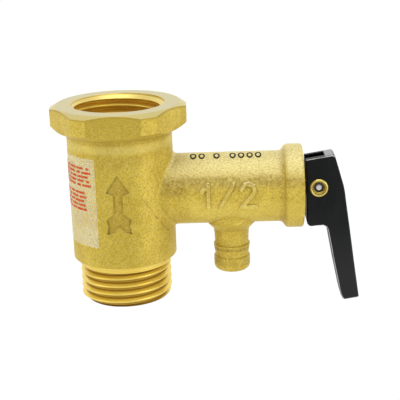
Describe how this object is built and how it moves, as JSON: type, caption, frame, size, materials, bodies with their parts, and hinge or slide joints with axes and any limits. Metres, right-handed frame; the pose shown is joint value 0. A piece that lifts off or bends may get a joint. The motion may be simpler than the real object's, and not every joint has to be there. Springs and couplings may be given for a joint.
{
  "type": "pressure relief valve",
  "caption": "Water heater safety valve: brass tee body with hexagon outlet, threaded inlet, side arm with spring relief valve, hose barb drain and hinged release lever.",
  "frame": {"origin": "on the water way's axis, in the plane of the male inlet thread's end face", "axes": "+Z along the water way from inlet to outlet, +X along the relief arm towards the release lever, -Y is the front with the flow arrow"},
  "size_m": [0.0688, 0.028, 0.0473],
  "materials": {
    "forged_brass": "forged and shot-blasted brass, fine grain, machined bright on threads and top face",
    "machined_brass": "turned brass, satin",
    "spring_steel": "drawn stainless spring wire",
    "steel_pin": "turned steel",
    "black_plastic": "moulded black plastic, satin",
    "white_plastic": "moulded white acetal",
    "black_rubber": "black nitrile rubber",
    "label_film": "thin frosted clear film"
  },
  "bodies": {
    "housing": {"valve_body": "forged_brass", "warning_label": "label_film", "check_seat": "white_plastic", "seat_oring": "black_rubber", "check_guide": "white_plastic", "check_spring": "spring_steel", "check_retaining_ring": "spring_steel", "relief_spring": "spring_steel", "spring_washer": "steel_pin", "adjuster_plug": "machined_brass", "stem_oring": "black_rubber"},
    "check_valve": {"check_poppet": "white_plastic", "check_seal": "black_rubber", "check_seal_washer": "steel_pin"},
    "relief_valve": {"relief_stem": "machined_brass", "disc_holder": "machined_brass", "relief_seal": "black_rubber", "seal_nut": "machined_brass"},
    "lever": {"release_lever": "black_plastic", "front_eyelet": "machined_brass", "rear_eyelet": "machined_brass", "pivot_pin": "steel_pin"}
  },
  "joints": [
    {"name": "relief_lift", "type": "slide", "parent": "housing", "child": "relief_valve", "axis": [1, 0, 0], "range_m": [0, 0.00285], "deforming": ["relief_spring"]},
    {"name": "lever_swing", "type": "hinge", "parent": "relief_valve", "child": "lever", "pos_m": [0.04439, 0, 0.02464], "axis": [0, -1, 0], "range_deg": [0, 79]},
    {"name": "check_lift", "type": "slide", "parent": "housing", "child": "check_valve", "axis": [0, 0, 1], "range_m": [0, 0.003], "deforming": ["check_spring"]}
  ],
  "couplings": [
    {"joint": "lever_swing", "follows": "relief_lift", "rad_per_m": 483}
  ]
}
